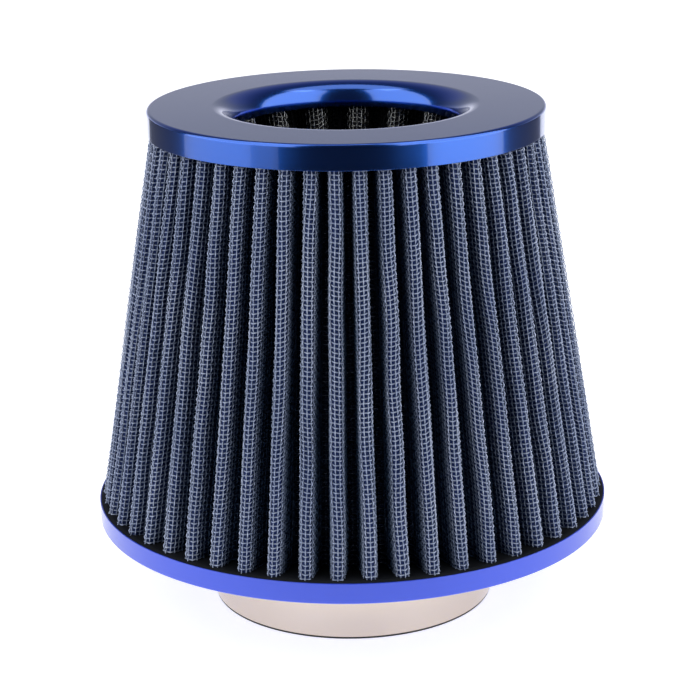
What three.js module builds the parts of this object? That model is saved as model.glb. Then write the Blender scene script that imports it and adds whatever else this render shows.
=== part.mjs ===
// A clamp-on cone air filter with two pleated elements: an outer cone, and an inverted inner cone that is fed
// through the throat of the top cap. Millimetres, +Z up along the filter's axis, origin at the centre of the
// neck's mouth, so that the filter stands on its neck at z = 0.
import * as THREE from "three";

// Driving dimensions: the overall heights, measured up from the neck's mouth.
const NECK_LENGTH = 25.5;
const BASE_BAND = 6.0;
const CAP_BAND = 7.1;
const TOP_Z = 146.8;
const RIM_Z = NECK_LENGTH + BASE_BAND;
const CAP_EDGE_Z = TOP_Z - CAP_BAND;

// Driving dimensions: the radii of the round parts.
const BASE_RADIUS = 75.0;
const CAP_RADIUS = 56.7;
const MOUTH_RADIUS = 38.0; // where the cap's flat top starts to roll into the throat
const THROAT_RADIUS = 32.0;
const NECK_RADIUS = 41.6;
const BORE_RADIUS = 38.0; // half of the 76 mm pipe that the neck slides over

// Sheet metal, and the running gap that parts keep where they touch.
const SHEET = 0.5;
const NECK_WALL = 1.0;
const GAP = 0.1;
const ROUND_STEPS = 40;

// The layers of one pleat wall, as distances from its middle surface.
const WALL_HALF = 0.8;
const MEDIA_HALF = 0.3;
const SCREEN_FACE = 0.4;

// The ends of both elements sit inside the cap, the pan and the end cup, in their potting.
const OUTER_LOW_Z = 29.5;
const ELEMENT_TOP_Z = 143.0;
const INNER_LOW_Z = 61.5;
const POTTING_UNDER = 0.2;

// Pleats: crest is the fold away from the axis, root is the fold nearest to it. The radii are those of the
// faces of the whole wall, and the half widths those of the fold's flat on the wall's middle surface.
const OUTER_ELEMENT = {
  pleats: 52,
  firstCrest: THREE.MathUtils.degToRad(-90 + 180 / 52),
  low: { z: OUTER_LOW_Z, crest: 74.1, root: 60.6, crestHalf: 0.95, rootHalf: 1.2 },
  high: { z: ELEMENT_TOP_Z, crest: 55.35, root: 43.2, crestHalf: 0.95, rootHalf: 1.1 },
};
const INNER_ELEMENT = {
  pleats: 18,
  firstCrest: THREE.MathUtils.degToRad(84.5 + 180 / 18),
  low: { z: INNER_LOW_Z, crest: 22.0, root: 12.6, crestHalf: 1.2, rootHalf: 0.9 },
  high: { z: ELEMENT_TOP_Z, crest: 42.4, root: 35.2, crestHalf: 2.6, rootHalf: 2.2 },
};

const FINISH = {
  capBlue: new THREE.MeshStandardMaterial({ color: 0x2450d8, roughness: 0.14, metalness: 1.0 }),
  baseBlue: new THREE.MeshStandardMaterial({ color: 0x4a64e0, roughness: 0.35, metalness: 0.2 }),
  neckMetal: new THREE.MeshStandardMaterial({ color: 0xd8ccc2, roughness: 0.2, metalness: 1.0 }),
  potting: new THREE.MeshStandardMaterial({ color: 0x0b0c10, roughness: 0.45, metalness: 0.0 }),
  rubber: new THREE.MeshStandardMaterial({ color: 0x141414, roughness: 0.7, metalness: 0.0 }),
  media: new THREE.MeshStandardMaterial({ color: 0x141b3c, roughness: 0.95, metalness: 0.0 }),
  screen: new THREE.MeshStandardMaterial({ color: 0x9aa0b8, roughness: 0.45, metalness: 0.8 }),
  clipSteel: new THREE.MeshStandardMaterial({ color: 0xb8babd, roughness: 0.35, metalness: 1.0 }),
  cupBlack: new THREE.MeshStandardMaterial({ color: 0x16171b, roughness: 0.4, metalness: 0.3 }),
};

function part(name, geometry, material) {
  const mesh = new THREE.Mesh(geometry, material);
  mesh.name = name;
  return mesh;
}

// A ring or disc turned about Z from points [radius, z] that run anticlockwise round its section.
function turned(outline) {
  const points = outline.map(([radius, z]) => new THREE.Vector2(radius, z));
  const startsOnAxis = points[0].x === 0;
  if (!startsOnAxis) points.push(points[0].clone());
  return new THREE.LatheGeometry(points, ROUND_STEPS).rotateX(Math.PI / 2);
}

// Points of an elliptical arc about a centre, angles in degrees from the +radius direction.
function arc(centreRadius, centreZ, halfWidth, halfHeight, from, to, steps) {
  return Array.from({ length: steps + 1 }, (_, i) => {
    const angle = THREE.MathUtils.degToRad(from + ((to - from) * i) / steps);
    return [centreRadius + halfWidth * Math.cos(angle), centreZ + halfHeight * Math.sin(angle)];
  });
}

// The middle line of one pleated ring at one end: four corners to a pleat, anticlockwise.
function pleatLine({ pleats, firstCrest }, { crest, root, crestHalf, rootHalf }) {
  const pitch = (2 * Math.PI) / pleats;
  const fold = (angle, radius, half) =>
    [-half, half].map((aside) =>
      new THREE.Vector2(radius, aside).rotateAround(new THREE.Vector2(), angle),
    );
  return Array.from({ length: pleats }, (_, i) => {
    const angle = firstCrest + i * pitch;
    return [
      ...fold(angle, crest - WALL_HALF, crestHalf),
      ...fold(angle + pitch / 2, root + WALL_HALF, rootHalf),
    ];
  }).flat();
}

// The same line moved sideways by a distance, outwards when it is positive, with mitred corners.
function offsetLine(line, distance) {
  const sideways = (a, b) => new THREE.Vector2(b.y - a.y, a.x - b.x).normalize();
  return line.map((point, i) => {
    const before = sideways(line.at(i - 1), point);
    const after = sideways(point, line[(i + 1) % line.length]);
    const mitre = before.clone().add(after).normalize();
    return point.clone().addScaledVector(mitre, distance / mitre.dot(after));
  });
}

// One pleated sheet between two distances from the middle surface: a four-cornered section carried round.
function pleatedSheet(element, inside, outside) {
  const rings = [
    [element.low, outside],
    [element.high, outside],
    [element.high, inside],
    [element.low, inside],
  ].map(([end, distance]) => ({ z: end.z, line: offsetLine(pleatLine(element, end), distance) }));
  const count = rings[0].line.length;
  const positions = rings.flatMap(({ z, line }) => line.flatMap((point) => [point.x, point.y, z]));
  const faces = [];
  rings.forEach(({ z }, ring) => {
    const next = (ring + 1) % rings.length;
    for (let i = 0; i < count; i++) {
      const j = (i + 1) % count;
      const [a, b, c, d] = [ring * count + i, ring * count + j, next * count + j, next * count + i];
      // The flanks are slightly twisted, so both faces of a layer are split along the same diagonal.
      if (z === element.low.z) faces.push(a, b, c, a, c, d);
      else faces.push(a, b, d, b, c, d);
    }
  });
  const sheet = new THREE.BufferGeometry();
  sheet.setAttribute("position", new THREE.Float32BufferAttribute(positions, 3));
  sheet.setIndex(faces);
  sheet.computeVertexNormals();
  return sheet;
}

// The three layers of an element, named from its dirty side to its clean side.
function elementLayers(prefix, element, dirtyIsOutside) {
  const outerFace = pleatedSheet(element, SCREEN_FACE, WALL_HALF);
  const innerFace = pleatedSheet(element, -WALL_HALF, -SCREEN_FACE);
  const [dirty, clean] = dirtyIsOutside ? [outerFace, innerFace] : [innerFace, outerFace];
  return [
    part(`${prefix}_dirty_side_screen`, dirty, FINISH.screen),
    part(`${prefix}_media`, pleatedSheet(element, -MEDIA_HALF, MEDIA_HALF), FINISH.media),
    part(`${prefix}_clean_side_screen`, clean, FINISH.screen),
  ];
}

// A folded steel channel that closes the seam where the two ends of an element meet. It lies along one fold,
// from z = low to z = high, on the line that the fold's face makes, with its mouth towards the fold.
function seamClip(name, element, fold, angle, { low, high }, insideHalf, leg) {
  const side = fold === "root" ? 1 : -1; // the mouth faces away from the axis on a root fold
  const slope = (element.high[fold] - element.low[fold]) / (element.high.z - element.low.z);
  const faceAt = (z) => element.low[fold] + slope * (z - element.low.z);
  const wall = 0.45;
  const back = 0.15 + wall;
  const channel = new THREE.Shape(
    [
      [-back, -insideHalf - wall],
      [leg, -insideHalf - wall],
      [leg, -insideHalf],
      [wall - back, -insideHalf],
      [wall - back, insideHalf],
      [leg, insideHalf],
      [leg, insideHalf + wall],
      [-back, insideHalf + wall],
    ].map(([along, aside]) => new THREE.Vector2(side * along, side * aside)),
  );
  const length = (high - low) * Math.hypot(1, slope);
  const clip = part(
    name,
    new THREE.ExtrudeGeometry(channel, { depth: length, bevelEnabled: false }),
    FINISH.clipSteel,
  );
  clip.rotation.y = Math.atan(slope);
  clip.position.set(faceAt(low), 0, low);
  const turn = new THREE.Group();
  turn.rotation.z = angle;
  turn.add(clip);
  return turn;
}

// Spun cap: a band round the top, a flat face and a lip that rolls down into the throat.
function topCap() {
  const corner = 1.0;
  const rollWidth = MOUTH_RADIUS - THROAT_RADIUS;
  const rollHeight = 7.0;
  const rollZ = TOP_Z - rollHeight;
  const outline = [
    [CAP_RADIUS, CAP_EDGE_Z],
    ...arc(CAP_RADIUS - corner, TOP_Z - corner, corner, corner, 0, 90, 2),
    ...arc(MOUTH_RADIUS, rollZ, rollWidth, rollHeight, 90, 180, 4),
    ...arc(MOUTH_RADIUS, rollZ, rollWidth - SHEET, rollHeight - SHEET, 180, 90, 4),
    [CAP_RADIUS - SHEET, TOP_Z - SHEET],
    [CAP_RADIUS - SHEET, CAP_EDGE_Z],
  ];
  return part("top_cap", turned(outline), FINISH.capBlue);
}

// Cast black ring inside the cap, over the ends of both elements, with a skirt behind the throat lip.
function topPotting() {
  const underside = ELEMENT_TOP_Z + POTTING_UNDER;
  const skirtFoot = CAP_EDGE_Z + 0.4;
  const skirtInside = THROAT_RADIUS + SHEET + GAP;
  const outside = CAP_RADIUS - SHEET - GAP;
  const top = TOP_Z - SHEET - GAP;
  const rollTop = MOUTH_RADIUS + 0.5;
  const outline = [
    [skirtInside, skirtFoot],
    [INNER_ELEMENT.high.root - 1.1, skirtFoot],
    [INNER_ELEMENT.high.root - 0.2, underside],
    [outside, underside],
    [outside, top],
    [rollTop, top],
    [skirtInside + 1.2, underside],
  ];
  return part("top_potting", turned(outline), FINISH.potting);
}

// Blue pan under the outer cone: an upright band and a flat floor with the hole for the neck.
function basePan() {
  const floorTop = NECK_LENGTH + SHEET;
  const hole = NECK_RADIUS + GAP;
  const outline = [
    [hole, NECK_LENGTH],
    [BASE_RADIUS - 0.5, NECK_LENGTH],
    [BASE_RADIUS, NECK_LENGTH + 0.5],
    [BASE_RADIUS, RIM_Z],
    [BASE_RADIUS - SHEET, RIM_Z],
    [BASE_RADIUS - SHEET, floorTop],
    [hole, floorTop],
  ];
  return part("base_pan", turned(outline), FINISH.baseBlue);
}

// Cast black ring in the pan. The outer element stands on its low step, against the taller inner shoulder.
function basePotting() {
  const floor = NECK_LENGTH + SHEET + GAP;
  const step = OUTER_LOW_Z - POTTING_UNDER;
  const shoulder = OUTER_ELEMENT.low.root - 1.4;
  const inside = 49.0;
  const outside = BASE_RADIUS - SHEET - GAP;
  const outline = [
    [inside, floor],
    [outside, floor],
    [outside, step],
    [shoulder, step],
    [shoulder, RIM_Z - 0.3],
    [inside, RIM_Z - 0.3],
  ];
  return part("base_potting", turned(outline), FINISH.potting);
}

// Bright metal tube that hangs from the pan's floor by the flange at its upper end.
function neckSleeve() {
  const inside = NECK_RADIUS - NECK_WALL;
  const foot = 0.6;
  const flangeLow = NECK_LENGTH + SHEET + GAP;
  const flangeRadius = 48.6;
  const outline = [
    [inside, foot],
    [NECK_RADIUS, foot],
    [NECK_RADIUS, flangeLow],
    [flangeRadius, flangeLow],
    [flangeRadius, flangeLow + NECK_WALL],
    [inside, flangeLow + NECK_WALL],
  ];
  return part("neck_sleeve", turned(outline), FINISH.neckMetal);
}

// Soft black sleeve inside the neck that grips the pipe. Its lips hold it at both ends of the metal tube.
function neckLiner() {
  const outside = NECK_RADIUS - NECK_WALL - GAP;
  const footLip = NECK_RADIUS - 0.2;
  const headLip = NECK_RADIUS + 1.4;
  const headLow = NECK_LENGTH + SHEET + GAP + NECK_WALL + GAP;
  const outline = [
    [BORE_RADIUS, 0],
    [footLip, 0],
    [footLip, 0.5],
    [outside, 0.5],
    [outside, headLow],
    [headLip, headLow],
    [headLip, headLow + 1.6],
    [BORE_RADIUS, headLow + 1.6],
  ];
  return part("neck_liner", turned(outline), FINISH.rubber);
}

// Small cup that closes the narrow end of the inner cone.
function innerEndCup() {
  const inside = INNER_ELEMENT.low.crest + 1.6;
  const floor = INNER_LOW_Z - 3.6;
  const rim = INNER_LOW_Z + 3.0;
  const outline = [
    [0, floor],
    [inside + SHEET, floor],
    [inside + SHEET, rim],
    [inside, rim],
    [inside, floor + SHEET],
    [0, floor + SHEET],
  ];
  return part("inner_end_cup", turned(outline), FINISH.cupBlack);
}

// Cast black disc in the cup, with a boss that stands inside the inner cone's roots.
function innerEndPotting() {
  const floor = INNER_LOW_Z - 3.6 + SHEET + GAP;
  const step = INNER_LOW_Z - POTTING_UNDER;
  const boss = INNER_ELEMENT.low.root - 1.0;
  const bossTop = INNER_LOW_Z + 2.6;
  const outline = [
    [0, floor],
    [INNER_ELEMENT.low.crest + 1.6 - GAP, floor],
    [INNER_ELEMENT.low.crest + 1.6 - GAP, step],
    [boss, step],
    [boss, bossTop],
    [0, bossTop],
  ];
  return part("inner_end_potting", turned(outline), FINISH.potting);
}

const outerPitch = (2 * Math.PI) / OUTER_ELEMENT.pleats;
const innerPitch = (2 * Math.PI) / INNER_ELEMENT.pleats;
const backRoot = OUTER_ELEMENT.firstCrest + (OUTER_ELEMENT.pleats / 2 - 0.5) * outerPitch;
const backCrest = INNER_ELEMENT.firstCrest + innerPitch;

const filter = new THREE.Group();
filter.name = "cone_air_filter";
filter.add(
  topCap(),
  topPotting(),
  ...elementLayers("outer_element", OUTER_ELEMENT, true),
  seamClip("outer_seam_clip", OUTER_ELEMENT, "root", backRoot, { low: 32, high: 138 }, 2.35, 1.1),
  ...elementLayers("inner_element", INNER_ELEMENT, false),
  seamClip("inner_seam_clip", INNER_ELEMENT, "crest", backCrest, { low: 66, high: 130 }, 3.6, 1.6),
  innerEndCup(),
  innerEndPotting(),
  basePan(),
  basePotting(),
  neckSleeve(),
  neckLiner(),
);

export default filter;
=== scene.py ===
"""Cone air filter: the visual model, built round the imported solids.

All lengths are in metres. The filter stands on its neck at z = 0 with its axis on +Z. The pleated elements
are made the way the real ones are: a flat cloth of crossing wires is woven first and then folded round the
pleats.
"""
import logging
import math
from collections.abc import Sequence
from dataclasses import dataclass
from enum import Enum

import bmesh
import bpy
import numpy as np
from mathutils import Matrix, Vector


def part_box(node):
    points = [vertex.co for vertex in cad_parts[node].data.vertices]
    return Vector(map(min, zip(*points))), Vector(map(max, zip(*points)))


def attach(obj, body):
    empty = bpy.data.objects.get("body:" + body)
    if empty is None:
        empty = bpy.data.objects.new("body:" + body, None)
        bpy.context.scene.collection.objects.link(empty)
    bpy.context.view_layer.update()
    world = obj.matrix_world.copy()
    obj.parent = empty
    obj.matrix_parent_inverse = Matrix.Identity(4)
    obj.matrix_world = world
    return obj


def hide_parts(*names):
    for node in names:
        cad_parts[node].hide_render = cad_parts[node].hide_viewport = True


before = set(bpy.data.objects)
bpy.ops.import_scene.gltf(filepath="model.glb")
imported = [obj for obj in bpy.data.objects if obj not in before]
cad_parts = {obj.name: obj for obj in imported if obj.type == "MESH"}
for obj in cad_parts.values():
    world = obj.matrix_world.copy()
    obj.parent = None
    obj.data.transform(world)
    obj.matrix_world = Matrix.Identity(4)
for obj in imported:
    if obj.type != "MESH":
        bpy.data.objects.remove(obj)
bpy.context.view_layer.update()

LOG = logging.getLogger("air_filter")
MM = 0.001
FULL_TURN = 2 * math.pi

Corner = tuple[float, float, float]
Colour = tuple[float, float, float]
Scale = tuple[float, float, float]


class Slot(Enum):
    """Material slot names that each piece is passed with; nothing reads them."""

    CAP = "blue_metal_cap"
    PAN = "blue_metal_pan"
    NECK = "bright_neck"
    POTTING = "black_potting"
    RUBBER = "black_rubber"
    MEDIA = "blue_media"
    WIRE = "woven_wire"
    CUP = "black_cup"


class Side(Enum):
    """A face of a pleated wall, as the sign of the distance from its middle surface."""

    OUTER = 1
    INNER = -1


# ---------------------------------------------------------------------------------------------- materials


class Value:
    """A shader socket that Python arithmetic can be done on: each operator adds a Math node."""

    def __init__(self, graph: "Graph", socket: bpy.types.NodeSocket | None) -> None:
        """Wraps one output socket of a graph, or none for a node that ends it."""
        self.graph = graph
        self.socket = socket

    def maths(self, operation: str, *others: "Value | float", flip: bool = False) -> "Value":
        """Adds one Math node.

        Args:
            operation: The Math node's operation.
            others: The other operands.
            flip: True puts this value after the first other operand.

        Returns:
            The result as a new value.
        """
        operands = [self, *others]
        if flip:
            operands[:2] = operands[1::-1]
        return self.graph.node("ShaderNodeMath", {"operation": operation}, dict(enumerate(operands)))

    def __add__(self, other: "Value | float") -> "Value":
        """This value plus another."""
        return self.maths("ADD", other)

    def __sub__(self, other: "Value | float") -> "Value":
        """This value less another."""
        return self.maths("SUBTRACT", other)

    def __rsub__(self, other: "Value | float") -> "Value":
        """Another value less this one."""
        return self.maths("SUBTRACT", other, flip=True)

    def __mul__(self, other: "Value | float") -> "Value":
        """This value times another."""
        return self.maths("MULTIPLY", other)

    __radd__ = __add__
    __rmul__ = __mul__

    def clamped(self) -> "Value":
        """This value held between nought and one."""
        return self.maths("MINIMUM", 1.0).maths("MAXIMUM", 0.0)


class Graph:
    """A shader node tree, built node by node."""

    def __init__(self, owner: bpy.types.Material | bpy.types.World) -> None:
        """Empties the tree of its owner.

        Args:
            owner: The material or world.
        """
        owner.use_nodes = True
        self.tree = owner.node_tree
        self.tree.nodes.clear()

    def node(self, kind: str, settings: dict, inputs: dict, output: int | str = 0) -> Value:
        """Adds one node.

        Args:
            kind: The node's type.
            settings: Its own settings. "stops" fills a ramp with (position, colour) pairs.
            inputs: Values or links for its sockets, by name or index.
            output: The output that is given back.

        Returns:
            That output as a value.
        """
        made = self.tree.nodes.new(kind)
        for key, setting in settings.items():
            if key == "stops":
                self._fill_ramp(made.color_ramp, setting)
            else:
                setattr(made, key, setting)
        for key, given in inputs.items():
            socket = made.inputs[key]
            if isinstance(given, Value):
                self.tree.links.new(given.socket, socket)
            elif socket.type == "RGBA" and len(given) == 3:
                socket.default_value = (*given, 1.0)
            else:
                socket.default_value = given
        return Value(self, made.outputs[output] if made.outputs else None)

    @staticmethod
    def _fill_ramp(ramp: bpy.types.ColorRamp, stops: Sequence[tuple[float, Colour]]) -> None:
        """Puts stops into a ramp.

        Args:
            ramp: The ramp, which has two stops of its own.
            stops: (position, colour) of each stop, at least two.
        """
        while len(ramp.elements) < len(stops):
            ramp.elements.new(0.5)
        for element, (position, colour) in zip(ramp.elements, stops, strict=True):
            element.position = position
            element.color = (*colour, 1.0)

    def blend(self, factor: Value, low: "Colour | Value", high: "Colour | Value") -> Value:
        """A colour that goes from low to high as the factor goes from nought to one."""
        inputs = {"Factor": factor, 6: low, 7: high}
        return self.node("ShaderNodeMix", {"data_type": "RGBA"}, inputs, 2)

    def eased(self, value: Value, low: float, high: float) -> Value:
        """A smooth step from nought to one as a value goes from low to high."""
        inputs = {"Value": value, "From Min": low, "From Max": high}
        return self.node("ShaderNodeMapRange", {"interpolation_type": "SMOOTHSTEP"}, inputs)


class Shader(Graph):
    """One material."""

    def __init__(self, name: str, shown: Colour) -> None:
        """Starts an empty material.

        Args:
            name: The material's name.
            shown: The colour that it has in the viewport.
        """
        self.material = bpy.data.materials.new(name)
        self.material.diffuse_color = (*shown, 1.0)
        super().__init__(self.material)

    def place(self) -> Value:
        """The point on the piece, in its own metres."""
        return self.node("ShaderNodeTexCoord", {}, {}, "Object")

    def distance(self) -> Value:
        """How far the point on the piece is from the piece's middle."""
        return self.node("ShaderNodeVectorMath", {"operation": "LENGTH"}, {0: self.place()}, "Value")

    def stored(self, name: str) -> Value:
        """A number that the piece's vertices store."""
        return self.node("ShaderNodeAttribute", {"attribute_name": name}, {}, "Fac")

    def depth(self, shallow: float, deep: float) -> Value:
        """How much painted shade a point gets down between the pleats: nought on the folds, one where the
        shade is full.

        Args:
            shallow: The part of the pleats' depth where the painted shade starts.
            deep: The part of their depth where it is full.

        Returns:
            The amount of painted shade.
        """
        down = (self.stored("depth") - shallow) * (1.0 / (deep - shallow))
        return down.clamped().maths("POWER", 0.6)

    def stretched(self, scale: Scale) -> Value:
        """The point on the piece, with each axis scaled."""
        return self.node("ShaderNodeMapping", {}, {"Vector": self.place(), "Scale": scale})

    def noise(self, scale: float, detail: float, where: Value | None = None) -> Value:
        """A noise from nought to one.

        Args:
            scale: Its grains to a metre.
            detail: Its octaves.
            where: The point to read it at, or None for the point on the piece.

        Returns:
            The noise.
        """
        at = where or self.place()
        return self.node("ShaderNodeTexNoise", {}, {"Vector": at, "Scale": scale, "Detail": detail})

    def bump(self, height: Value, distance: float) -> Value:
        """A normal from a height.

        Args:
            height: The height, from nought to one.
            distance: What a height of one stands for, in metres.

        Returns:
            The normal.
        """
        return self.node("ShaderNodeBump", {}, {"Height": height, "Distance": distance})

    def surface(self, sockets: dict) -> bpy.types.Material:
        """Ends the tree in one Principled shader.

        Args:
            sockets: Values or links for the shader's sockets, by name.

        Returns:
            The material.
        """
        shader = self.node("ShaderNodeBsdfPrincipled", {}, sockets)
        self.node("ShaderNodeOutputMaterial", {}, {"Surface": shader})
        return self.material


@dataclass(frozen=True)
class TintedMetal:
    """Spun sheet metal under a clear tinted lacquer."""

    name: str
    colour: Colour
    deep: Colour
    roughness: float
    coat_roughness: float
    metallic: float = 1.0

    def material(self) -> bpy.types.Material:
        """Builds the material.

        Returns:
            Faint spinning lines, small changes of depth and a smooth clear coat.
        """
        shader = Shader(self.name, self.colour)
        clouds = shader.noise(22.0, 2.0)
        lines = shader.noise(1.0, 2.0, shader.stretched((9.0, 9.0, 2600.0)))
        specks = shader.noise(2600.0, 1.0)
        roughness = self.roughness + 0.10 * (clouds - 0.5) + 0.06 * (lines - 0.5)
        return shader.surface(
            {
                "Base Color": shader.blend(clouds * 0.55 + lines * 0.35, self.deep, self.colour),
                "Metallic": self.metallic,
                "Roughness": roughness,
                "Coat Weight": 1.0,
                "Coat Roughness": self.coat_roughness,
                "Coat IOR": 1.5,
                "Normal": shader.bump(specks * 0.4 + lines * 0.6, 0.0000012),
            }
        )


@dataclass(frozen=True)
class BareMetal:
    """Polished or rolled metal with no coat."""

    name: str
    colour: Colour
    dull: Colour
    roughness: float

    def material(self) -> bpy.types.Material:
        """Builds the material.

        Returns:
            Fine lines round the axis and a few dull clouds.
        """
        shader = Shader(self.name, self.colour)
        clouds = shader.noise(45.0, 4.0)
        lines = shader.noise(1.0, 3.0, shader.stretched((14.0, 14.0, 5200.0)))
        return shader.surface(
            {
                "Base Color": shader.blend(clouds, self.colour, self.dull),
                "Metallic": 1.0,
                "Roughness": self.roughness + 0.12 * (clouds - 0.5) + 0.10 * (lines - 0.5),
                "Normal": shader.bump(lines, 0.000002),
            }
        )


@dataclass(frozen=True)
class CastBlack:
    """Black rubber or resin, poured or moulded."""

    name: str
    colour: Colour
    bloom: Colour
    roughness: float
    grain: float
    gloss: float = 0.5

    def material(self) -> bpy.types.Material:
        """Builds the material.

        Returns:
            A slight grey bloom, uneven gloss and a soft grain.
        """
        shader = Shader(self.name, self.colour)
        clouds = shader.noise(60.0, 4.0)
        grain = shader.noise(1500.0, 3.0)
        dips = shader.noise(170.0, 2.0)
        return shader.surface(
            {
                "Base Color": shader.blend((clouds - 0.35) * 1.2, self.colour, self.bloom),
                "Roughness": self.roughness + 0.22 * (clouds - 0.5),
                "Specular IOR Level": self.gloss,
                "Normal": shader.bump(grain * 0.3 + dips, self.grain),
            }
        )


@dataclass(frozen=True)
class CoatedWire:
    """Fine wire with a thin grey coat."""

    name: str
    colour: Colour
    worn: Colour
    # Painted shade: the colour the wire darkens to down between the pleats, and the depths where that
    # starts and where it is full.
    valley_shade: Colour
    roughness: float
    metallic: float
    valley_shade_from: float = 0.015
    valley_shade_full: float = 0.39
    shade_under: float = 0.6

    def material(self) -> bpy.types.Material:
        """Builds the material.

        Returns:
            Blue-grey patches and rubbed spots, with painted shade down between the pleats and on the lower
            wire at each crossing.
        """
        shader = Shader(self.name, self.colour)
        patches = shader.noise(38.0, 3.0)
        spots = shader.noise(900.0, 2.0)
        mask = ((patches - 0.38) * 1.6 + (spots - 0.5) * 1.2).clamped()
        fresh = shader.blend(mask, self.colour, self.worn)
        # Painted shade down between the pleats, and on the lower wire at each crossing, darkens the colour
        # towards the valley shade colour.
        clean = 1.0 - shader.depth(self.valley_shade_from, self.valley_shade_full)
        shown = clean * (1.0 - self.shade_under * shader.stored("under"))
        return shader.surface(
            {
                "Base Color": shader.blend(shown, self.valley_shade, fresh),
                "Metallic": self.metallic,
                "Roughness": (self.roughness + 0.30 * (spots - 0.5)).clamped(),
            }
        )


@dataclass(frozen=True)
class OiledGauze:
    """Layers of oiled cotton gauze."""

    name: str
    colour: Colour
    thread: Colour

    def material(self) -> bpy.types.Material:
        """Builds the material.

        Returns:
            Crossing threads, darker where the oil lies, with painted shade down between the pleats.
        """
        shader = Shader(self.name, self.colour)
        oil = shader.noise(70.0, 4.0)
        rows = shader.noise(1.0, 1.0, shader.stretched((500.0, 500.0, 2600.0)))
        fuzz = shader.noise(3200.0, 2.0)
        threads = rows * 0.6 + fuzz * 0.5
        # Painted shade: the gauze darkens down between the pleats.
        shown = (threads * oil * 2.2).clamped() * (1.0 - 0.8 * shader.depth(0.10, 0.60))
        return shader.surface(
            {
                "Base Color": shader.blend(shown, self.colour, self.thread),
                "Roughness": 0.95 - 0.25 * oil,
                "Specular IOR Level": 0.25,
                "Normal": shader.bump(threads, 0.00025),
            }
        )


CAP_BLUE = TintedMetal("cap blue", (0.020, 0.108, 0.49), (0.016, 0.085, 0.41), 0.20, 0.06)
PAN_BLUE = TintedMetal("pan blue", (0.009, 0.057, 0.63), (0.007, 0.048, 0.57), 0.42, 0.12, 0.35)
NECK_METAL = BareMetal("neck metal", (0.70, 0.605, 0.47), (0.64, 0.545, 0.42), 0.22)
CLIP_METAL = BareMetal("clip metal", (0.62, 0.63, 0.65), (0.50, 0.51, 0.53), 0.34)
CUP_BLACK = CastBlack("cup black", (0.012, 0.013, 0.016), (0.03, 0.03, 0.034), 0.38, 0.00001)
POTTING_BLACK = CastBlack("potting black", (0.002, 0.003, 0.005), (0.005, 0.006, 0.009), 0.70, 0.00010, 0.2)
LINER_RUBBER = CastBlack("liner rubber", (0.010, 0.010, 0.011), (0.022, 0.021, 0.021), 0.62, 0.00003)
# The third colour of each wire is that of its painted shade between the pleats.
OUTER_WIRE = CoatedWire(
    "outer wire", (0.37, 0.435, 0.62), (0.63, 0.69, 0.845), (0.040, 0.075, 0.140), 0.38, 0.30
)
INNER_WIRE = CoatedWire(
    "inner wire", (0.32, 0.33, 0.33), (0.60, 0.60, 0.57), (0.004, 0.005, 0.006), 0.24, 0.92
)
OUTER_GAUZE = OiledGauze("outer gauze", (0.009, 0.021, 0.056), (0.015, 0.030, 0.12))
INNER_GAUZE = OiledGauze("inner gauze", (0.001, 0.001, 0.003), (0.004, 0.005, 0.010))


# --------------------------------------------------------------------------------------------- geometry


def rounded(corners: Sequence[Corner], steps: int = 8, support: float = 0.25 * MM) -> list[Vector]:
    """Rounds the corners of a closed outline in the XZ plane.

    Args:
        corners: (radius, height, fillet) of each corner, in order round the outline.
        steps: How many edges each fillet has.
        support: How far from a fillet an extra point holds a flat stretch flat.

    Returns:
        The outline's points.
    """
    places = [Vector((radius, 0.0, height)) for radius, height, _ in corners]
    reach = []
    for i, (here, (_, _, fillet)) in enumerate(zip(places, corners, strict=True)):
        back = (places[i - 1] - here).normalized()
        ahead = (places[(i + 1) % len(places)] - here).normalized()
        reach.append(fillet / math.tan(back.angle(ahead) / 2))
    outline: list[Vector] = []
    for i, (here, (_, _, fillet)) in enumerate(zip(places, corners, strict=True)):
        after = (i + 1) % len(places)
        back = (places[i - 1] - here).normalized()
        ahead = (places[after] - here).normalized()
        if fillet:
            bisector = (back + ahead).normalized()
            centre = here + bisector * (fillet / math.sin(back.angle(ahead) / 2))
            first = here + back * reach[i] - centre
            last = here + ahead * reach[i] - centre
            turn = first.rotation_difference(last)
            whole = Matrix.Rotation(turn.angle / steps, 3, turn.axis)
            for _ in range(steps + 1):
                outline.append(centre + first)
                first = whole @ first
        else:
            outline.append(here.copy())
        span = (places[after] - here).length - reach[i] - reach[after]
        if span > 4 * support:
            start = here + ahead * reach[i]
            outline.append(start + ahead * support)
            outline.append(start + ahead * (span - support))
    return outline


def turned(outline: Sequence[Vector], turns: int = 192) -> bmesh.types.BMesh:
    """Spins a closed outline all the way round the Z axis.

    Args:
        outline: The section's points. A point on the axis is welded to itself.
        turns: How many steps the full turn has.

    Returns:
        The closed ring or disc.
    """
    ring = bmesh.new()
    section = [ring.verts.new(point) for point in outline]
    edges = [ring.edges.new(pair) for pair in zip(section, section[1:] + section[:1], strict=True)]
    bmesh.ops.spin(
        ring,
        geom=section + edges,
        axis=(0.0, 0.0, 1.0),
        cent=(0.0, 0.0, 0.0),
        angle=FULL_TURN,
        steps=turns,
        use_merge=True,
    )
    bmesh.ops.remove_doubles(ring, verts=ring.verts, dist=0.001 * MM)
    bmesh.ops.recalc_face_normals(ring, faces=ring.faces)
    return ring


def points(shape: bmesh.types.BMesh) -> np.ndarray:
    """The places of a shape's vertices, as rows of x, y and z."""
    return np.array([vertex.co for vertex in shape.verts], float).reshape(-1, 3)


def move(shape: bmesh.types.BMesh, places: np.ndarray) -> None:
    """Moves every vertex of a shape to its row of x, y and z."""
    for vertex, place in zip(shape.verts, places, strict=True):
        vertex.co = place


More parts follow.
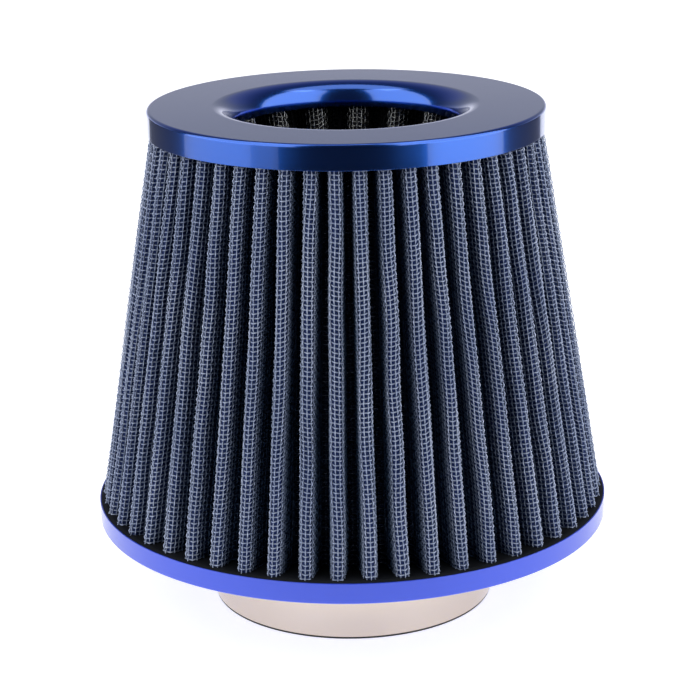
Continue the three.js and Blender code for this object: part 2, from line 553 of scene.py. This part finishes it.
def joined(shapes: Sequence[bmesh.types.BMesh]) -> bmesh.types.BMesh:
    """Puts several shapes into one.

    Args:
        shapes: The shapes, which are freed.

    Returns:
        The whole.
    """
    whole = bmesh.new()
    for shape in shapes:
        carrier = bpy.data.meshes.new("carrier")
        shape.to_mesh(carrier)
        shape.free()
        whole.from_mesh(carrier)
        bpy.data.meshes.remove(carrier)
    return whole


def add_piece(
    name: str,
    shape: bmesh.types.BMesh,
    material: bpy.types.Material,
    slot: Slot,
    *nodes: str,
    smooth_below: float = 40.0,
) -> None:
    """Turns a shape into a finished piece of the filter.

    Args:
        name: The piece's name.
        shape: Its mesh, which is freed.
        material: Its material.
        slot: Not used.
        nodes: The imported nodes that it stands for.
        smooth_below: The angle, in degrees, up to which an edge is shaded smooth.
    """
    mesh = bpy.data.meshes.new(name)
    shape.to_mesh(mesh)
    shape.free()
    mesh.materials.append(material)
    mesh.shade_smooth()
    mesh.set_sharp_from_angle(angle=math.radians(smooth_below))
    piece = bpy.data.objects.new(name, mesh)
    bpy.context.scene.collection.objects.link(piece)
    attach(piece, "root")
    if nodes:
        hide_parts(*nodes)
    LOG.info("%s: %d faces", name, len(mesh.polygons))


@dataclass(frozen=True)
class PleatWall:
    """The middle surface of a pleated cone, with round folds that wander a little as real ones do.

    A place on it is a column, counted in lengthwise wires round the cloth, and a height. Column 0 is the
    middle of the first crest.
    """

    pleats: int
    first_crest: float
    low: float
    high: float
    crest_radii: tuple[float, float]
    root_radii: tuple[float, float]
    crest_rounds: tuple[float, float]
    root_rounds: tuple[float, float]
    columns: int
    wire_gap: float
    even_columns: float
    even_lift: float
    sway: float
    jut: float
    slip: float
    seed: int

    def _wander(self, salt: int, pleat: np.ndarray, level: np.ndarray, waves: int = 3) -> np.ndarray:
        """A smooth random number for each pleat that changes along its height.

        Args:
            salt: Tells one use from another.
            pleat: Which pleat each point is on.
            level: How far up the wall each point is, from 0 to 1.
            waves: How many sine waves are added up.

        Returns:
            The numbers, mostly between -1 and 1.
        """
        chance = np.random.default_rng(self.seed + salt)
        offset = chance.uniform(-1.0, 1.0, self.pleats)
        phase = chance.uniform(0.0, FULL_TURN, (waves, self.pleats))
        speed = chance.uniform(0.5, 1.6, (waves, self.pleats)) * np.arange(1, waves + 1)[:, None]
        which = pleat.astype(int) % self.pleats
        total = 0.45 * offset[which]
        for wave in range(waves):
            swing = np.sin(phase[wave, which] + FULL_TURN * speed[wave, which] * level)
            total = total + swing * 0.4 / (wave + 1)
        return total

    def mark_depth(self, shape: bmesh.types.BMesh, side: Side) -> None:
        """Stores on each vertex how far down between the folds it is, seen from one side, which the
        materials turn into painted shade.

        Args:
            shape: A folded shape.
            side: The side that it is seen from.
        """
        layer = shape.verts.layers.float.new("depth")
        for vertex in shape.verts:
            level = (vertex.co.z - self.low) / (self.high - self.low)
            crest = self.crest_radii[0] + (self.crest_radii[1] - self.crest_radii[0]) * level
            root = self.root_radii[0] + (self.root_radii[1] - self.root_radii[0]) * level
            down = (crest - vertex.co.xy.length) / (crest - root)
            vertex[layer] = down if side is Side.OUTER else 1.0 - down

    def slant(self, column: np.ndarray, level: np.ndarray) -> np.ndarray:
        """How much higher a crosswise wire runs than a level one: it climbs or drops over each fold.

        Args:
            column: The place round the cloth, in wires.
            level: How far up the wall, from 0 to 1.

        Returns:
            The rises, mostly between -1 and 1 and nought at the folds and between them.
        """
        pleat = np.floor(column / self.columns + 0.5)
        return self._wander(4, pleat, level) * np.sin(FULL_TURN * (column / self.columns - pleat))

    def place(self, column: np.ndarray, height: np.ndarray, lift: np.ndarray) -> np.ndarray:
        """Finds points on or beside the wall.

        Args:
            column: The place round the cloth, in wires.
            height: The height.
            lift: The distance from the middle surface, outwards when it is positive.

        Returns:
            The points, one row each.
        """
        level = (height - self.low) / (self.high - self.low)
        crest, root, crest_round, root_round = (
            ends[0] + (ends[1] - ends[0]) * level
            for ends in (self.crest_radii, self.root_radii, self.crest_rounds, self.root_rounds)
        )
        half = self.columns / 2
        pleat = np.floor(column / self.columns + 0.5)
        local = column - pleat * self.columns
        local = local + self.slip * self._wander(1, pleat, level) * (1 - (local / half) ** 2)
        side = np.where(local < 0, -1.0, 1.0)
        half_pitch = math.pi / self.pleats
        sway = self.sway * self._wander(2, pleat, level) / crest
        wedge = half_pitch - side * sway
        crest_centre = crest + self.jut * self._wander(3, pleat, level) - crest_round
        root_x = (root + root_round) * np.cos(wedge)
        root_y = (root + root_round) * np.sin(wedge)
        across = np.hypot(root_x - crest_centre, root_y)
        both = crest_round + root_round
        bend = np.arctan2(root_y, root_x - crest_centre) - np.arccos(np.clip(both / across, -1.0, 1.0))
        flank = np.sqrt(np.maximum(across**2 - both**2, 0.0))
        crest_bend = crest_round + self.even_lift
        root_bend = root_round - self.even_lift
        over_crest = crest_bend * bend
        over_root = root_bend * (bend - wedge)
        whole = over_crest + flank + over_root
        steps = np.abs(local)
        near = np.minimum(self.even_columns * self.wire_gap, whole)
        beyond = (steps - self.even_columns) / max(half - self.even_columns, 1e-9)
        along = np.where(
            steps <= self.even_columns,
            near * steps / max(self.even_columns, 1e-9),
            near + (whole - near) * beyond,
        )
        on_crest = along < over_crest
        on_root = along > over_crest + flank
        facing = np.where(on_crest, along / crest_bend, bend)
        facing = np.where(on_root, bend - (along - over_crest - flank) / root_bend, facing)
        run = np.clip(along - over_crest, 0.0, flank)
        east, north = np.cos(facing), np.sin(facing)
        x = np.where(on_root, root_x - root_round * east, crest_centre + crest_round * east)
        y = np.where(on_root, root_y - root_round * north, crest_round * north)
        x = np.where(on_root, x, x - run * np.sin(bend)) + lift * east
        y = side * (np.where(on_root, y, y + run * np.cos(bend)) + lift * north)
        angle = self.first_crest + pleat * 2 * half_pitch + sway
        return np.stack(
            (x * np.cos(angle) - y * np.sin(angle), x * np.sin(angle) + y * np.cos(angle), height), axis=-1
        )


@dataclass(frozen=True)
class WireCloth:
    """A plain-woven wire cloth that lies on one face of a pleated wall.

    The cloth is woven flat, with x across the lengthwise wires, y along them and z out of the cloth, and
    then folded onto the wall.
    """

    wall: PleatWall
    side: Side
    wire_radius: float
    row_gap: float
    weave_depth: float
    lift: float
    fine: tuple[int, int]
    ripple: float
    ripple_waves: tuple[tuple[int, float, float], ...] = (
        (7, 1.0, 1.1),
        (19, 0.8, 0.4),
        (43, 0.9, 2.2),
        (97, 0.3, 0.6),
    )
    slant: float = 0.5
    lengthwise_share: float = 0.94
    crosswise_share: float = 1.04
    flank_steps: int = 7

    def _rows(self) -> int:
        """How many crosswise wires there are."""
        return int((self.wall.high - self.wall.low) / self.row_gap)

    def _wire(self, across: bool, start: float, length: float, steps: int) -> bmesh.types.BMesh:
        """One straight wire with a three-sided section whose ridge faces away from the wall.

        Args:
            across: True for a crosswise wire along x, False for a lengthwise one along y.
            start: Where it starts along its own direction.
            length: How long it is.
            steps: How many segments it has.

        Returns:
            The closed wire.
        """
        wire = bmesh.new()
        radius = self.wire_radius * (self.crosswise_share if across else self.lengthwise_share)
        section = bmesh.ops.create_circle(wire, segments=3, radius=radius, cap_ends=False)["verts"]
        stand = Matrix.Rotation(self.side.value * math.pi / 2, 4, "X")
        ahead = Vector((0.0, 1.0, 0.0))
        if across:
            stand = Matrix.Rotation(math.pi / 2, 4, "Z") @ stand
            ahead = Vector((1.0, 0.0, 0.0))
        bmesh.ops.transform(wire, matrix=stand, verts=section)
        bmesh.ops.translate(wire, verts=section, vec=ahead * start)
        bmesh.ops.spin(
            wire,
            geom=wire.verts[:] + wire.edges[:],
            cent=(0.0, 0.0, 0.0),
            axis=(0.0, 0.0, 1.0),
            dvec=ahead * (length / steps),
            angle=0.0,
            steps=steps,
            use_merge=False,
        )
        bmesh.ops.holes_fill(wire, edges=wire.edges, sides=3)
        bmesh.ops.recalc_face_normals(wire, faces=wire.faces)
        return wire

    @staticmethod
    def _repeat(shape: bmesh.types.BMesh, step: Vector, copies: int) -> None:
        """Adds copies of everything in a shape.

        Args:
            shape: The shape.
            step: How much further each copy is than the one before.
            copies: How many copies are added.
        """
        if copies:
            bmesh.ops.spin(
                shape,
                geom=shape.verts[:] + shape.edges[:] + shape.faces[:],
                cent=(0.0, 0.0, 0.0),
                axis=(0.0, 0.0, 1.0),
                dvec=step,
                angle=0.0,
                steps=copies,
                use_duplicate=True,
            )

    def _fold(self, shape: bmesh.types.BMesh, across: bool) -> None:
        """Weaves the flat wires over and under each other and folds them onto the wall.

        Each vertex stores whether its wire is the lower one there, because less light gets to it.

        Args:
            shape: The wires.
            across: True if they are crosswise wires.
        """
        flat = points(shape)
        column = flat[:, 0] / self.wall.wire_gap
        row = flat[:, 1] / self.row_gap
        parity = 1.0 - 2.0 * np.mod(np.round(column) + np.round(row), 2.0)
        over = self.side.value * (-parity if across else parity)
        out = flat[:, 2] + self.side.value * (self.lift + over * self.weave_depth)
        turn = FULL_TURN * column / (self.wall.columns * self.wall.pleats)
        level = np.clip(row / self._rows(), 0.0, 1.0)
        ripple = sum(size * np.sin(count * turn + phase) for count, size, phase in self.ripple_waves)
        ripple = ripple + self.slant * self.wall.slant(column, level)
        height = self.wall.low + flat[:, 1] + self.ripple * ripple * np.sin(np.pi * level) ** 0.5
        move(shape, self.wall.place(column, np.clip(height, self.wall.low, self.wall.high), out))
        layer = shape.verts.layers.float.new("under")
        for vertex, above in zip(shape.verts, over, strict=True):
            vertex[layer] = 0.5 - 0.5 * above

    def sector(self, first: int, pleats: int) -> bmesh.types.BMesh:
        """Makes the cloth on a run of neighbouring pleats.

        Args:
            first: The first pleat.
            pleats: How many pleats.

        Returns:
            Its wires.
        """
        gap = self.wall.wire_gap
        columns = self.wall.columns
        rows = self._rows()
        fine_first, fine_last = self.fine
        plain = columns - (fine_last - fine_first) - 1
        length = rows * self.row_gap
        along = Vector((gap, 0.0, 0.0))
        up = Vector((0.0, self.row_gap, 0.0))
        next_pleat = along * columns
        parts = []
        lengthwise = [(fine_first, fine_last - fine_first, rows)]
        crosswise = []
        if fine_last > fine_first:
            crosswise.append((fine_first, fine_last - fine_first, fine_last - fine_first))
        if plain > 0:
            lengthwise.append((fine_last + 1, plain - 1, self.flank_steps))
            crosswise.append((fine_last, plain + 1, (plain + 1) // 2))
        for start, copies, steps in lengthwise:
            wires = self._wire(False, 0.0, length, steps)
            bmesh.ops.translate(wires, verts=wires.verts, vec=along * (start + first * columns))
            self._repeat(wires, along, copies)
            self._repeat(wires, next_pleat, pleats - 1)
            self._fold(wires, False)
            parts.append(wires)
        for start, reach, steps in crosswise:
            wires = self._wire(True, (start + first * columns) * gap, reach * gap, steps)
            self._repeat(wires, up, rows)
            self._repeat(wires, next_pleat, pleats - 1)
            self._fold(wires, True)
            parts.append(wires)
        cloth = joined(parts)
        # The stored depth gives the wires their painted shade between the pleats.
        self.wall.mark_depth(cloth, self.side)
        return cloth


def pleated_sheet(wall: PleatWall, thickness: float, parts_per_column: int, rows: int) -> bmesh.types.BMesh:
    """Makes a closed pleated sheet on the middle surface of a wall.

    Args:
        wall: The wall.
        thickness: The sheet's thickness.
        parts_per_column: How many faces one column is divided into.
        rows: How many faces there are up the wall.

    Returns:
        The sheet.
    """
    sheet = bmesh.new()
    columns = wall.columns * wall.pleats
    bmesh.ops.create_grid(sheet, x_segments=columns * parts_per_column, y_segments=rows, size=0.5)
    bmesh.ops.solidify(sheet, geom=sheet.faces[:], thickness=thickness)
    ends = [
        face
        for face in sheet.faces
        if all(abs(abs(vertex.co.x) - 0.5) < 1e-6 for vertex in face.verts)
    ]
    bmesh.ops.delete(sheet, geom=ends, context="FACES_ONLY")
    middle = sum(vertex.co.z for vertex in sheet.verts) / len(sheet.verts)
    flat = points(sheet)
    height = wall.low + (flat[:, 1] + 0.5) * (wall.high - wall.low)
    move(sheet, wall.place((flat[:, 0] + 0.5) * columns, height, flat[:, 2] - middle))
    bmesh.ops.remove_doubles(sheet, verts=sheet.verts, dist=0.002 * MM)
    bmesh.ops.recalc_face_normals(sheet, faces=sheet.faces)
    return sheet


# ----------------------------------------------------------------------------------------- sub-assemblies


@dataclass
class Cap:
    """The spun blue cap with its rolled throat, and the black ring cast inside it."""

    sheet: float = 0.5 * MM
    mouth_roll: float = 6.0 * MM
    throat_radius: float = 32.0 * MM
    outer_round: float = 0.9 * MM
    edge_round: float = 0.12 * MM
    skirt_gap: float = 0.6 * MM
    skirt_thickness: float = 1.6 * MM
    ring_depth: float = 2.6 * MM

    def build(self) -> None:
        """Makes the cap and its potting."""
        low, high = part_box("top_cap")
        radius, top, foot = high.x, high.z, low.z
        inside = radius - self.sheet
        throat = self.throat_radius
        roof = top - self.sheet
        corners = [
            (radius, foot, self.edge_round),
            (radius, top, self.outer_round),
            (throat, top, self.mouth_roll),
            (throat, foot, self.edge_round),
            (throat + self.sheet, foot, self.edge_round),
            (throat + self.sheet, roof, self.mouth_roll - self.sheet),
            (inside, roof, self.outer_round - self.sheet),
            (inside, foot, self.edge_round),
        ]
        shell = turned(rounded(corners, steps=12), turns=256)
        add_piece("cap_shell", shell, CAP_BLUE.material(), Slot.CAP, "top_cap")
        ring_low, ring_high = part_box("top_potting")
        skirt = throat + self.skirt_gap
        under = ring_high.z - self.ring_depth
        ring = [
            (skirt, ring_low.z, 0.3 * MM),
            (skirt + self.skirt_thickness, ring_low.z, 0.3 * MM),
            (skirt + self.skirt_thickness + 1.0 * MM, under, 0.4 * MM),
            (inside - 0.1 * MM, under, 0.0),
            (inside - 0.1 * MM, ring_high.z, 0.0),
            (throat + self.mouth_roll + 0.5 * MM, ring_high.z, 0.0),
            (skirt + 1.2 * MM, under, 0.0),
        ]
        potting = turned(rounded(ring, steps=3), turns=128)
        add_piece("cap_potting", potting, POTTING_BLACK.material(), Slot.POTTING, "top_potting")


@dataclass
class Element:
    """One pleated element: gauze between two wire cloths."""

    name: str
    wall: PleatWall
    wire: CoatedWire
    media: OiledGauze
    dirty: Side
    fine: tuple[int, int]
    sectors: int
    wire_radius: float = 0.205 * MM
    row_gap: float = 1.24 * MM
    weave_depth: float = 0.22 * MM
    lift: float = 0.62 * MM
    gauze_thickness: float = 0.6 * MM
    gauze_parts: int = 2
    gauze_rows: int = 12
    ripple: float = 1.1 * MM
    plain_sectors: int = 2

    def build(self) -> None:
        """Makes the gauze and both wire cloths."""
        wire = self.wire.material()
        gauze = pleated_sheet(self.wall, self.gauze_thickness, self.gauze_parts, self.gauze_rows)
        # The stored depth gives the gauze its painted shade between the pleats.
        self.wall.mark_depth(gauze, self.dirty)
        node = f"{self.name}_element_media"
        add_piece(f"{self.name}_gauze", gauze, self.media.material(), Slot.MEDIA, node, smooth_below=80.0)
        self._cloth("dirty", self.dirty, self.fine, wire)
        clean = Side(-self.dirty.value)
        self._cloth("clean", clean, (0, 0), wire)

    def _cloth(self, label: str, side: Side, fine: tuple[int, int], wire: bpy.types.Material) -> None:
        """Makes the cloth on one side, as several sectors of neighbouring pleats.

        Args:
            label: Which cloth it is, as the nodes name it.
            side: The face of the wall that it lies on.
            fine: The first and last lengthwise wires that are modelled crossing by crossing.
            wire: The wire's material.
        """
        ripple = self.ripple if side is self.dirty else 0.0
        cloth = WireCloth(
            self.wall, side, self.wire_radius, self.row_gap, self.weave_depth, self.lift, fine, ripple
        )
        sectors = self.sectors if fine[1] > fine[0] else self.plain_sectors
        runs = np.array_split(np.arange(self.wall.pleats), sectors)
        for number, run in enumerate(runs, 1):
            shape = cloth.sector(int(run[0]), len(run))
            node = f"{self.name}_element_{label}_side_screen"
            title = f"{self.name}_{label}_wire_cloth_{number}"
            add_piece(title, shape, wire, Slot.WIRE, node, smooth_below=180.0)


@dataclass
class SeamClips:
    """The metal strips that close each pleated pack into a cone, kept as they are packed."""

    nodes: tuple[str, ...] = ("outer_seam_clip", "inner_seam_clip")

    def build(self) -> None:
        """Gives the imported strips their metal."""
        metal = CLIP_METAL.material()
        for node in self.nodes:
            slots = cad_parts[node].data.materials
            slots.clear()
            slots.append(metal)
            LOG.info("%s: dressed as packed", node)


@dataclass
class EndCup:
    """The small cup and the black disc that close the inner cone."""

    sheet: float = 0.5 * MM
    edge: float = 0.2 * MM
    bed: float = 3.0 * MM
    boss_radius: float = 11.0 * MM

    def build(self) -> None:
        """Makes the cup and its potting."""
        low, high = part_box("inner_end_cup")
        radius = high.x
        corners = [
            (0.0, low.z, 0.0),
            (radius, low.z, 1.2 * MM),
            (radius, high.z, self.edge),
            (radius - self.sheet, high.z, self.edge),
            (radius - self.sheet, low.z + self.sheet, 0.7 * MM),
            (0.0, low.z + self.sheet, 0.0),
        ]
        cup = turned(rounded(corners, steps=5), turns=96)
        add_piece("inner_cup_shell", cup, CUP_BLACK.material(), Slot.CUP, "inner_end_cup")
        disc_low, disc_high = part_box("inner_end_potting")
        step = disc_low.z + self.bed
        corners = [
            (0.0, disc_low.z, 0.0),
            (disc_high.x, disc_low.z, 0.6 * MM),
            (disc_high.x, step + 1.4 * MM, 0.2 * MM),
            (self.boss_radius + 1.0 * MM, step + 1.0 * MM, 0.5 * MM),
            (self.boss_radius, disc_high.z, 0.5 * MM),
            (0.0, disc_high.z, 0.0),
        ]
        disc = turned(rounded(corners, steps=3), turns=96)
        add_piece("inner_cup_potting", disc, POTTING_BLACK.material(), Slot.POTTING, "inner_end_potting")


@dataclass
class Base:
    """The blue pan and the black potting that the outer element stands in."""

    sheet: float = 0.4 * MM
    lower_round: float = 0.6 * MM
    rim_round: float = 0.12 * MM
    swell: float = 0.35 * MM
    hole: float = 41.7 * MM
    potting_bore: float = 49.0 * MM

    def build(self) -> None:
        """Makes the pan and its potting."""
        low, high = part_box("base_pan")
        radius, rim, under = high.x, high.z, low.z
        floor = under + 0.5 * MM
        inside = radius - self.sheet
        corners = [
            (self.hole, under, self.rim_round),
            (radius, under, self.lower_round),
            (radius, rim, self.rim_round),
            (inside, rim, self.rim_round),
            (inside, floor, 0.3 * MM),
            (self.hole, floor, self.rim_round),
        ]
        pan = turned(rounded(corners, steps=6), turns=256)
        add_piece("pan_shell", pan, PAN_BLUE.material(), Slot.PAN, "base_pan")
        inner = self.potting_bore
        bed = rim + self.swell
        corners = [
            (inner, floor + 0.05 * MM, 0.0),
            (inside - 0.02 * MM, floor + 0.05 * MM, 0.0),
            (inside - 0.02 * MM, rim + 0.02 * MM, 0.1 * MM),
            (inside - 1.0 * MM, bed, 0.8 * MM),
            (inner, bed - 0.4 * MM, 0.6 * MM),
        ]
        potting = turned(rounded(corners, steps=5), turns=256)
        add_piece("pan_potting", potting, POTTING_BLACK.material(), Slot.POTTING, "base_potting")


@dataclass
class Neck:
    """The bright tube and the rubber sleeve that grips the pipe."""

    radius: float = 41.6 * MM
    wall: float = 1.0 * MM
    bore: float = 38.0 * MM
    gap: float = 0.1 * MM
    edge: float = 0.25 * MM
    bead: float = 1.6 * MM

    def build(self) -> None:
        """Makes the sleeve and its liner."""
        low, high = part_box("neck_sleeve")
        radius = self.radius
        flange_low = high.z - self.wall
        corners = [
            (radius - self.wall, low.z, self.edge),
            (radius, low.z, self.edge),
            (radius, flange_low, 0.0),
            (high.x, flange_low, self.edge),
            (high.x, high.z, self.edge),
            (radius - self.wall, high.z, self.edge),
        ]
        sleeve = turned(rounded(corners, steps=5), turns=256)
        add_piece("neck_tube", sleeve, NECK_METAL.material(), Slot.NECK, "neck_sleeve")
        low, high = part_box("neck_liner")
        outside = radius - self.wall - self.gap
        head = high.z - self.bead
        corners = [
            (self.bore, low.z, 0.4 * MM),
            (radius - 0.2 * MM, low.z, 0.2 * MM),
            (radius - 0.2 * MM, low.z + 0.5 * MM, 0.1 * MM),
            (outside, low.z + 0.5 * MM, 0.0),
            (outside, head, 0.0),
            (high.x, head, 0.2 * MM),
            (high.x, high.z, 0.5 * MM),
            (self.bore, high.z, 0.5 * MM),
        ]
        liner = turned(rounded(corners, steps=5), turns=192)
        add_piece("neck_liner_sleeve", liner, LINER_RUBBER.material(), Slot.RUBBER, "neck_liner")


@dataclass(frozen=True)
class Softbox:
    """One large soft light that faces the filter's axis, or down if it hangs over it.

    Its direction is in degrees to the right of the front, and its glow is its radiance.
    """

    name: str
    direction: float
    reach: float
    height: float
    size: tuple[float, float]
    glow: float

    def hang(self) -> None:
        """Adds the light."""
        lamp = bpy.data.lights.new(self.name, "AREA")
        lamp.shape = "RECTANGLE"
        lamp.size, lamp.size_y = self.size
        lamp.energy = self.glow * math.pi * self.size[0] * self.size[1]
        holder = bpy.data.objects.new(self.name, lamp)
        turn = math.radians(self.direction - 90)
        holder.location = (self.reach * math.cos(turn), self.reach * math.sin(turn), self.height)
        target = Vector((0.0, 0.0, self.height if self.reach else 0.0))
        holder.rotation_euler = (target - holder.location).to_track_quat("-Z", "Y").to_euler()
        bpy.context.scene.collection.objects.link(holder)


@dataclass(frozen=True)
class FloorCard:
    """A card laid over a sector of the floor, where only reflections see it.

    Its direction is that of its middle, in degrees to the right of the front, and it spreads that many
    degrees to each side. It starts at the inner radius. Its shade is how pale it is, and its cover is how
    much of the floor it hides. With soft_light it also keeps the floor's soft light from the filter.
    """

    name: str
    direction: float
    spread: float
    inner: float
    shade: float
    cover: float = 1.0
    soft_light: bool = False
    outer: float = 60.0
    height: float = 1.5 * MM
    steps: int = 16

    def lay(self) -> None:
        """Adds the card."""
        shape = bmesh.new()
        start = math.radians(self.direction - self.spread - 90)
        near = shape.verts.new((self.inner * math.cos(start), self.inner * math.sin(start), self.height))
        far = shape.verts.new((self.outer * math.cos(start), self.outer * math.sin(start), self.height))
        edge = shape.edges.new((near, far))
        bmesh.ops.spin(
            shape,
            geom=[near, far, edge],
            cent=(0.0, 0.0, 0.0),
            axis=(0.0, 0.0, 1.0),
            angle=math.radians(2 * self.spread),
            steps=self.steps,
            use_merge=False,
        )
        mesh = bpy.data.meshes.new(self.name)
        shape.to_mesh(mesh)
        shape.free()
        mesh.materials.append(self._material())
        card = bpy.data.objects.new(self.name, mesh)
        card.visible_camera = False
        card.visible_shadow = False
        card.visible_diffuse = self.soft_light
        bpy.context.scene.collection.objects.link(card)

    def _material(self) -> bpy.types.Material:
        """Builds the card's material.

        Returns:
            Dull, slightly blue paper.
        """
        shader = Shader(self.name, (0.01, 0.01, 0.01))
        grain = shader.noise(200.0, 1.0)
        dark = (self.shade, self.shade, 1.05 * self.shade)
        pale = (1.1 * self.shade, 1.1 * self.shade, 1.2 * self.shade)
        return shader.surface(
            {
                "Base Color": shader.blend(grain, dark, pale),
                "Roughness": 0.95,
                "Specular IOR Level": 0.0,
                "Alpha": self.cover,
            }
        )


@dataclass
class Studio:
    """The pale floor, the lights and the camera."""

    lens: float = 111.96
    distance: float = 0.63913
    pitch: float = 17.238
    roll: float = -0.916
    aim: float = 73.52 * MM
    side_glow: float = 2.0
    top_glow: float = 1.3

    def build(self) -> None:
        """Sets up the view, the floor and the lights."""
        self._camera()
        self._floor()
        self._lights()
        self._room()

    def _camera(self) -> None:
        """Places the camera in front of the filter, looking slightly down."""
        lens = bpy.data.cameras.new("view")
        lens.lens = self.lens
        lens.sensor_width = 36.0
        camera = bpy.data.objects.new("view", lens)
        pitch = math.radians(self.pitch)
        back = Vector((0.0, -math.cos(pitch), math.sin(pitch)))
        camera.location = Vector((0.0, 0.0, self.aim)) + back * self.distance
        level = (-back).to_track_quat("-Z", "Y").to_matrix()
        camera.rotation_euler = (level @ Matrix.Rotation(math.radians(self.roll), 3, "Z")).to_euler()
        bpy.context.scene.collection.objects.link(camera)
        bpy.context.scene.camera = camera

    def _floor(self) -> None:
        """Lays the pale floor."""
        shape = bmesh.new()
        bmesh.ops.create_grid(shape, x_segments=1, y_segments=1, size=40.0)
        mesh = bpy.data.meshes.new("floor")
        shape.to_mesh(mesh)
        shape.free()
        shader = Shader("floor", (0.9, 0.9, 0.9))
        mottle = shader.noise(3.0, 2.0)
        far = shader.eased(shader.distance(), 0.35, 1.1)
        mesh.materials.append(
            shader.surface(
                {
                    "Base Color": shader.blend(mottle, (0.86, 0.86, 0.86), (0.88, 0.88, 0.88)),
                    "Roughness": 0.7,
                    "Emission Color": shader.blend(far, (0.66, 0.66, 0.66), (0.90, 0.90, 0.90)),
                    "Emission Strength": 1.0,
                }
            )
        )
        floor = bpy.data.objects.new("floor", mesh)
        bpy.context.scene.collection.objects.link(floor)

    def _lights(self) -> None:
        """Puts a softbox on each side and a dimmer one above, and cards where reflections are darker."""
        side = (1.3, 2.3)
        for softbox in (
            Softbox("left softbox", -64.0, 0.9, 1.16, side, 0.94 * self.side_glow),
            Softbox("right softbox", 63.5, 0.9, 1.16, side, self.side_glow),
            Softbox("top softbox", 0.0, 0.0, 1.5, (1.5, 0.72), self.top_glow),
        ):
            softbox.hang()
        for card in (
            FloorCard("front card", 3.5, 40.5, 0.19, 0.042, soft_light=True),
            FloorCard("left fading card", -45.0, 8.0, 0.19, 0.34, cover=0.75),
            FloorCard("left pale card", -77.0, 24.0, 0.19, 0.80, cover=0.5),
            FloorCard("left card", -125.5, 24.5, 0.25, 0.17),
            FloorCard("right card", 119.0, 23.0, 0.25, 0.17),
        ):
            card.lay()
        bpy.context.scene.view_settings.view_transform = "Standard"

    def _room(self) -> None:
        """Makes the dark room, with a backdrop that is white at the floor and fades upwards."""
        world = bpy.data.worlds.new("room")
        bpy.context.scene.world = world
        graph = Graph(world)
        aim = graph.node("ShaderNodeTexCoord", {}, {}, "Generated")
        ahead = graph.node("ShaderNodeSeparateXYZ", {}, {"Vector": aim}, "Y")
        above = graph.node("ShaderNodeSeparateXYZ", {}, {"Vector": aim}, "Z")
        stops = (
            (0.0, (0.96, 0.98, 1.10)),
            (0.08, (0.77, 0.78, 0.88)),
            (0.20, (0.30, 0.31, 0.34)),
            (0.31, (0.27, 0.28, 0.31)),
            (0.42, (0.23, 0.25, 0.38)),
            (0.85, (0.13, 0.16, 0.30)),
        )
        backdrop = graph.node("ShaderNodeValToRGB", {"stops": stops}, {"Fac": above})
        colour = graph.blend(graph.eased(ahead, 0.1, 0.85), (0.042, 0.046, 0.060), backdrop)
        light = graph.node("ShaderNodeBackground", {}, {"Color": colour})
        graph.node("ShaderNodeOutputWorld", {}, {"Surface": light})


def outer_wall() -> PleatWall:
    """Sizes the outer cone's wall.

    Returns:
        The wall, between the heights of its packed gauze.
    """
    low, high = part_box("outer_element_media")
    return PleatWall(
        pleats=52,
        first_crest=math.radians(-90 + 180 / 52),
        low=low.z,
        high=high.z,
        crest_radii=(73.3 * MM, 54.55 * MM),
        root_radii=(61.4 * MM, 44.0 * MM),
        crest_rounds=(1.05 * MM, 0.95 * MM),
        root_rounds=(1.9 * MM, 1.5 * MM),
        columns=18,
        wire_gap=1.3 * MM,
        even_columns=4.0,
        even_lift=0.62 * MM,
        sway=0.28 * MM,
        jut=0.12 * MM,
        slip=0.55,
        seed=11,
    )


def inner_wall() -> PleatWall:
    """Sizes the inverted inner cone's wall.

    Returns:
        The wall, between the heights of its packed gauze.
    """
    low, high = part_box("inner_element_media")
    return PleatWall(
        pleats=18,
        first_crest=math.radians(84.5 + 180 / 18),
        low=low.z,
        high=high.z,
        crest_radii=(21.2 * MM, 41.6 * MM),
        root_radii=(13.4 * MM, 36.0 * MM),
        crest_rounds=(1.4 * MM, 3.0 * MM),
        root_rounds=(1.0 * MM, 2.3 * MM),
        columns=14,
        wire_gap=1.3 * MM,
        even_columns=0.0,
        even_lift=-0.62 * MM,
        sway=0.3 * MM,
        jut=0.1 * MM,
        slip=0.4,
        seed=23,
    )


def main() -> None:
    """Builds the filter, sub-assembly by sub-assembly, and then the studio round it."""
    logging.basicConfig(level=logging.INFO, format="%(name)s: %(message)s")
    Cap().build()
    Element("outer", outer_wall(), OUTER_WIRE, OUTER_GAUZE, Side.OUTER, (-5, 5), 8).build()
    Element("inner", inner_wall(), INNER_WIRE, INNER_GAUZE, Side.INNER, (0, 13), 2).build()
    EndCup().build()
    Base().build()
    Neck().build()
    SeamClips().build()
    Studio().build()


if __name__ == "__main__":
    main()
